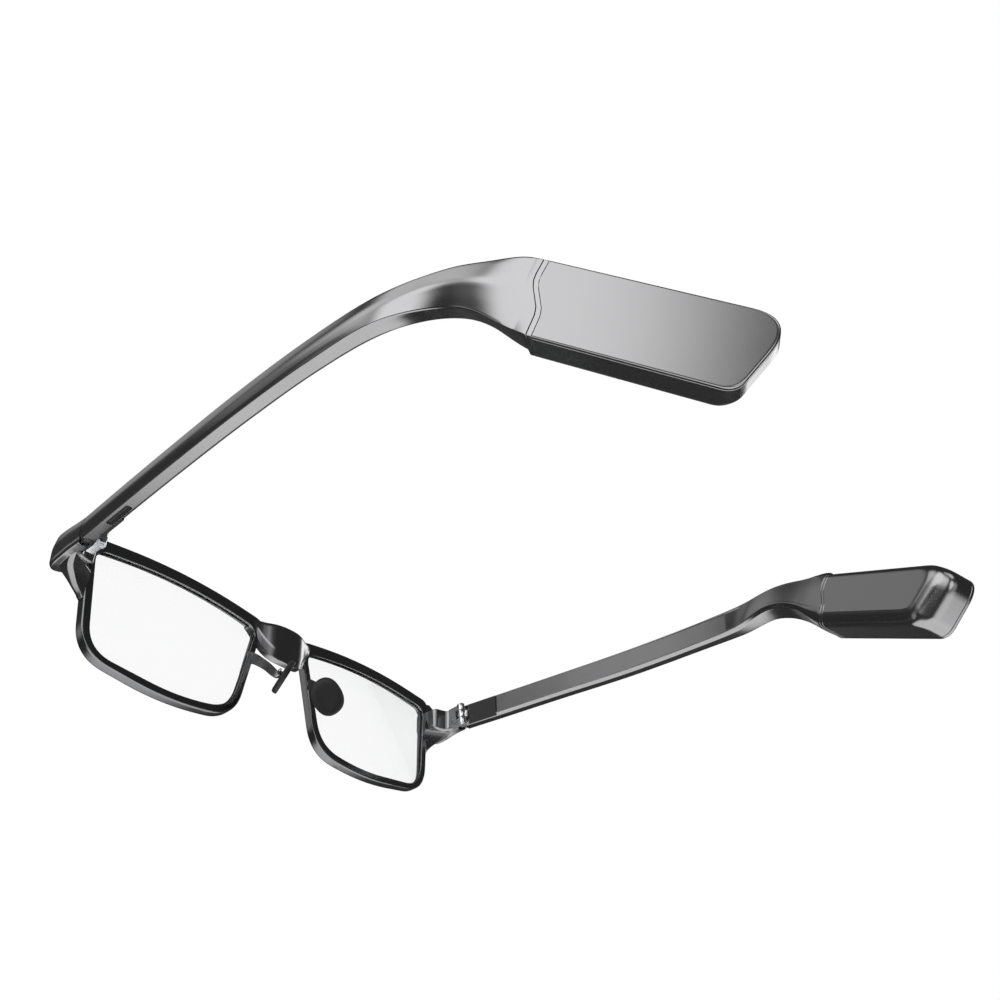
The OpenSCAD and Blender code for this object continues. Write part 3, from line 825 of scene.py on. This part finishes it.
# ---------------------------------------------------------------- openings
def prism_between(outline, low, high):
    """Closed solid over an outline (x, y) between two heights."""
    return lofted([[Vector((p[0], p[1], z)) for p in outline] for z in (low, high)])


# The arm's outer line seen from below, in its front part: a point and its direction.
ARM_START = Vector((68.6, 10))
ARM_TURN = Matrix.Rotation(math.radians(-4.3), 2)


def slot_outline(inset=0.0):
    """The pill-shaped slot under the front of the arm."""
    near, far = 10.1 + inset, 19.2 - inset
    left_x, right_x = -2.8 + inset, -1.2 - inset
    cut = (right_x - left_x) * 0.45
    corners = [(left_x, near, cut), (right_x, near, cut), (right_x, far, cut), (left_x, far, cut)]
    return [ARM_START + ARM_TURN @ p for p in rounded(corners, 8)]


def slot_grille_shape():
    """Black insert in the slot: a rounded sill that is dished in the middle."""
    rows = [(0, -3.2), (0, -3.62), (0.1, -3.72), (0.35, -3.72), (0.5, -3.5), (0.75, -3.42)]
    return lofted([[Vector((p.x, p.y, z)) for p in slot_outline(inset)] for inset, z in rows])


WELL_R = 1.9
WELL_CENTRE = Vector((66.3, 10.6))
WELL_STEPS = 48


def well_outline():
    """The round well under the joint of endpiece and arm."""
    turns = (2 * math.pi * k / WELL_STEPS for k in range(WELL_STEPS))
    return [WELL_CENTRE + WELL_R * Vector((math.cos(a), math.sin(a))) for a in turns]


# Outer wall of the endpiece by distance from the front: y, outer x, inner x, top z and
# the outer lower edge's z.
END_WALL = [
    (9.93, 68.6, 64.6, 2.7, -4.0), (8, 68.6, 64.6, 2.7, -4.1), (6.6, 68.6, 64.55, 2.7, -4.25),
    (5.6, 68.63, 64.4, 2.7, -4.4), (4.9, 68.65, 63.8, 2.7, -4.5), (4.4, 68.67, 62.3, 2.68, -4.6),
    (3.9, 68.68, 60.8, 2.67, -4.7), (3, 68.7, 60.2, 2.65, -4.9), (1, 68.7, 60.1, 2.6, -5.2),
    (-0.6, 68.6, 59.9, 2.5, -5.45), (-1.9, 68.3, 59.8, 2.4, -5.5), (-2.8, 67.8, 59.8, 2.3, -5.4),
    (-3.4, 67.0, 59.8, 2.1, -5.2), (-3.65, 66.0, 59.8, 1.9, -4.9),
]
# The gusset that runs down the rim: z, outer x, rear y at the outside.
END_GUSSET = [
    (5.2, 62.0, 0.4), (4.4, 63.0, 0.6), (2.9, 64.4, 1.1), (0, 65.6, 1.3), (-3.4, 66.6, 5.4),
    (-4.6, 66.4, 4.6), (-5.8, 65.6, 3.0), (-7.2, 64.0, 1.7), (-8.8, 62.4, 1.0), (-10.2, 61.0, 0.8),
    (-11.3, 60.2, 0.8),
]


# The rim's outer side: its top corner, how much it leans in per height, and how far the
# gusset reaches into it.
RIM_TOP_X, RIM_TOP_Z = RIM_CORNERS[0][:2]
RIM_LEAN = 0.117
RIM_OVERLAP = 1.2


def endpiece_shape():
    """Faceted corner block: an outer wall that meets the arm, and a gusset whose lower
    end tapers onto the rim."""
    wall = []
    for k in np.linspace(0, len(END_WALL) - 1, 61):
        y, out, inner, top, foot = (float(v) for v in spline(END_WALL, k))
        middle = (top + foot) / 2
        section = [
            (inner, top, 0.25), (out - 0.5, top, 0.35), (out, middle + 0.6, 1.1),
            (out - 0.3, foot + 0.7, 0.5), (out - 0.9, foot, 0.25), (inner + 1.2, -3.9, 0.4),
            (inner, -3.5, 0.3),
        ]
        wall.append([Vector((q.x, y, q.y)) for q in rounded(section, 4)])
    gusset = []
    for k in np.linspace(0, len(END_GUSSET) - 1, 55):
        z, out, rear = (float(v) for v in spline(END_GUSSET, k))
        rim = RIM_TOP_X - (RIM_TOP_Z - z) * RIM_LEAN - RIM_OVERLAP
        lean = -z * math.tan(LENS_TILT)
        front = -2.3 + lean
        section = [
            (rim, front, 0.1), (out - 1.0, front, 0.4), (out, front + 1.1, 0.4),
            (out, rear - 0.9, 0.25), (out - 0.8, rear, 0.25), (rim, 0.15 + lean, 0.1),
        ]
        gusset.append([Vector((q.x, q.y, z)) for q in rounded(section, 4)])
    return merged(lofted(wall), lofted(gusset))


# Cutters start well below the arm; these are the heights of the openings' ceilings.
CUT_START = -9
SLOT_CEILING = -3.2
WELL_CEILING = -2


def side_pieces(side, word):
    """All modelled pieces of one side; side is 1 for left and -1 for right."""
    temple = word + "_temple"
    pad = word + "_pad"
    arm = add_piece(word + "_arm_body", arm_shape(), side, temple, ARM_METAL,
                    (word + "_arm_shell",))
    well = prism_between(well_outline(), CUT_START, WELL_CEILING)
    carve(arm, prism_between(slot_outline(), CUT_START, SLOT_CEILING), side)
    carve(arm, well, side)
    end = add_piece(word + "_corner_block", endpiece_shape(), side, "front", END_METAL,
                    (word + "_endpiece",))
    carve(end, well, side)
    add_piece(word + "_slot_insert", slot_grille_shape(), side, temple, BLACK_PLASTIC,
              (word + "_slot_grille",))
    add_piece(word + "_arm_strip", strip_shape(), side, temple, STRIP_METAL,
              (word + "_arm_inner_strip",))
    add_piece(word + "_ring_body", ring_shape(), side, temple, RING_METAL,
              (word + "_seam_ring",))
    add_piece(word + "_pod_body", pod_shell_shape(), side, temple, POD_METAL,
              (word + "_pod_shell",))
    add_piece(word + "_pod_plate", pod_plate_shape(), side, temple, POD_METAL,
              (word + "_pod_cover",))
    add_piece(word + "_pad_blade", pad_arm_shape(), side, "front", END_METAL,
              (word + "_pad_arm",))
    soft = add_piece(word + "_pad_silicone", nose_pad_shape(), side, pad, SILICONE,
                     (word + "_nose_pad",))


# ---------------------------------------------------------------- camera and studio
CAMERA_AZIMUTH = math.radians(127.05)
CAMERA_ELEVATION = math.radians(-38.12)
CAMERA_ROLL = math.radians(-2.27)
CAMERA_LENS = 34.04
CAMERA_PLACE = ORIGIN + Vector((147.61, 189.91, -132.05)) * MM


def add_camera():
    """The photo's camera: below and behind the glasses, looking up."""
    a, e = CAMERA_AZIMUTH, CAMERA_ELEVATION
    back = Vector((math.sin(a) * math.cos(e), -math.cos(a) * math.cos(e), math.sin(e)))
    level = Vector((math.cos(a), math.sin(a), 0))
    rise = back.cross(level)
    c, s = math.cos(CAMERA_ROLL), math.sin(CAMERA_ROLL)
    right = level * c + rise * s
    up = rise * c - level * s
    data = bpy.data.cameras.new("camera")
    data.lens = CAMERA_LENS
    data.sensor_width = 36
    data.clip_start = 0.005
    camera = bpy.data.objects.new("camera", data)
    camera.matrix_world = Matrix((right, up, back)).transposed().to_4x4()
    camera.location = CAMERA_PLACE
    bpy.context.scene.collection.objects.link(camera)
    bpy.context.scene.camera = camera


# Soft lights all round the object, seen in its gloss: azimuth from +X towards +Y and
# elevation in degrees, brightness, and the half angles where each is full and gone.
STUDIO_GLOWS = [
    ("outer_side", 4, 22, 1.85, 15, 29),
    ("neck_side", -30, 48, 1.2, 5, 17),
    ("arm_side", -53, 40, 0.25, 3, 9),
    ("inner_fill", -27, 25, 0.28, 5, 13),
    ("inner_high", -82, 49, 0.4, 8, 16),
    ("front_low", -146, 18, 0.1, 5, 20),
    ("right_strip", -172, 23, 2.4, 8, 17),
    ("rear_left", 54, 29, 1.3, 8, 17),
    ("rear_low", 42, -9, 1.6, 7, 18),
    ("rear_fill", 68, -17, 0.55, 6, 18),
    ("front_left", -45, 9, 0.6, 4, 14),
]
STUDIO_BASE = 0.06


def compass(azimuth, elevation):
    a, e = math.radians(azimuth), math.radians(elevation)
    return Vector((math.cos(a) * math.cos(e), math.sin(a) * math.cos(e), math.sin(e)))


def add_world():
    """White to the camera; to every other ray a dim room with soft glows."""
    world = bpy.data.worlds.new("studio")
    world.use_nodes = True
    tree = world.node_tree
    tree.nodes.clear()
    out = tree.nodes.new("ShaderNodeOutputWorld")
    seen = tree.nodes.new("ShaderNodeBackground")
    seen.inputs["Color"].default_value = (1, 1, 1, 1)
    lit = tree.nodes.new("ShaderNodeBackground")
    lit.inputs["Color"].default_value = (1, 1, 1, 1)
    place = tree.nodes.new("ShaderNodeTexCoord")
    total = None
    for label, azimuth, elevation, level, full, gone in STUDIO_GLOWS:
        dot = tree.nodes.new("ShaderNodeVectorMath")
        dot.operation = "DOT_PRODUCT"
        dot.label = label
        dot.inputs[1].default_value = compass(azimuth, elevation)
        tree.links.new(place.outputs["Generated"], dot.inputs[0])
        fade = tree.nodes.new("ShaderNodeMapRange")
        fade.interpolation_type = "SMOOTHSTEP"
        fade.inputs["From Min"].default_value = math.cos(math.radians(gone))
        fade.inputs["From Max"].default_value = math.cos(math.radians(full))
        fade.inputs["To Max"].default_value = level
        tree.links.new(dot.outputs["Value"], fade.inputs["Value"])
        add = tree.nodes.new("ShaderNodeMath")
        add.inputs[1].default_value = STUDIO_BASE
        if total is not None:
            tree.links.new(total, add.inputs[1])
        tree.links.new(fade.outputs["Result"], add.inputs[0])
        total = add.outputs["Value"]
    tree.links.new(total, lit.inputs["Strength"])
    path = tree.nodes.new("ShaderNodeLightPath")
    mix = tree.nodes.new("ShaderNodeMixShader")
    tree.links.new(path.outputs["Is Camera Ray"], mix.inputs["Fac"])
    tree.links.new(lit.outputs["Background"], mix.inputs[1])
    tree.links.new(seen.outputs["Background"], mix.inputs[2])
    tree.links.new(mix.outputs["Shader"], out.inputs["Surface"])
    bpy.context.scene.world = world


def add_light(name, direction, distance, size, level):
    """Soft light that shines on the object from a direction; not seen in its gloss."""
    data = bpy.data.lights.new(name, "AREA")
    data.shape = "RECTANGLE"
    data.size, data.size_y = size
    data.energy = level * math.pi * size[0] * size[1]
    light = bpy.data.objects.new(name, data)
    d = Vector(direction).normalized()
    light.location = Vector((0, 0, 0.02)) + d * distance
    light.rotation_euler = d.to_track_quat("Z", "Y").to_euler()
    light.visible_camera = False
    light.visible_glossy = False
    bpy.context.scene.collection.objects.link(light)


# Floor in metres: depth below the rest height, half width, and the distances from its
# middle where it is still solid and where it is gone.
FLOOR_DROP = 0.16
FLOOR_HALF = 0.6
FLOOR_SOLID = 0.22
FLOOR_GONE = 0.39


def add_floor():
    """Pale floor below the camera; it fades out at its rim."""
    mesh = bpy.data.meshes.new("floor")
    half = FLOOR_HALF
    mesh.from_pydata([(-half, -half, 0), (half, -half, 0), (half, half, 0), (-half, half, 0)],
                     [], [(0, 1, 2, 3)])
    floor = bpy.data.objects.new("floor", mesh)
    floor.location = (0, 0, -FLOOR_DROP)
    bpy.context.scene.collection.objects.link(floor)
    paper = surface("floor_paper", (0.86, 0.86, 0.86), 0.9, grain=0.2, grain_size=0.002,
                    mottle=0.01, mottle_size=0.3, specular=0.1)
    tree = paper.node_tree
    place = tree.nodes.new("ShaderNodeTexCoord")
    away = tree.nodes.new("ShaderNodeVectorMath")
    away.operation = "LENGTH"
    tree.links.new(place.outputs["Object"], away.inputs[0])
    fade = tree.nodes.new("ShaderNodeMapRange")
    fade.interpolation_type = "SMOOTHSTEP"
    fade.inputs["From Min"].default_value = FLOOR_SOLID
    fade.inputs["From Max"].default_value = FLOOR_GONE
    fade.inputs["To Min"].default_value = 1
    fade.inputs["To Max"].default_value = 0
    tree.links.new(away.outputs["Value"], fade.inputs["Value"])
    tree.links.new(fade.outputs["Result"], tree.nodes["Principled BSDF"].inputs["Alpha"])
    mesh.materials.append(paper)


def add_studio():
    add_world()
    add_floor()
    add_light("overhead", (0, 0, 1), 0.9, (0.6, 0.6), 16)


dress_cad_nodes()
front_pieces()
for side, word in ((1, "left"), (-1, "right")):
    side_pieces(side, word)
add_camera()
add_studio()
bpy.context.scene.view_settings.view_transform = "Standard"
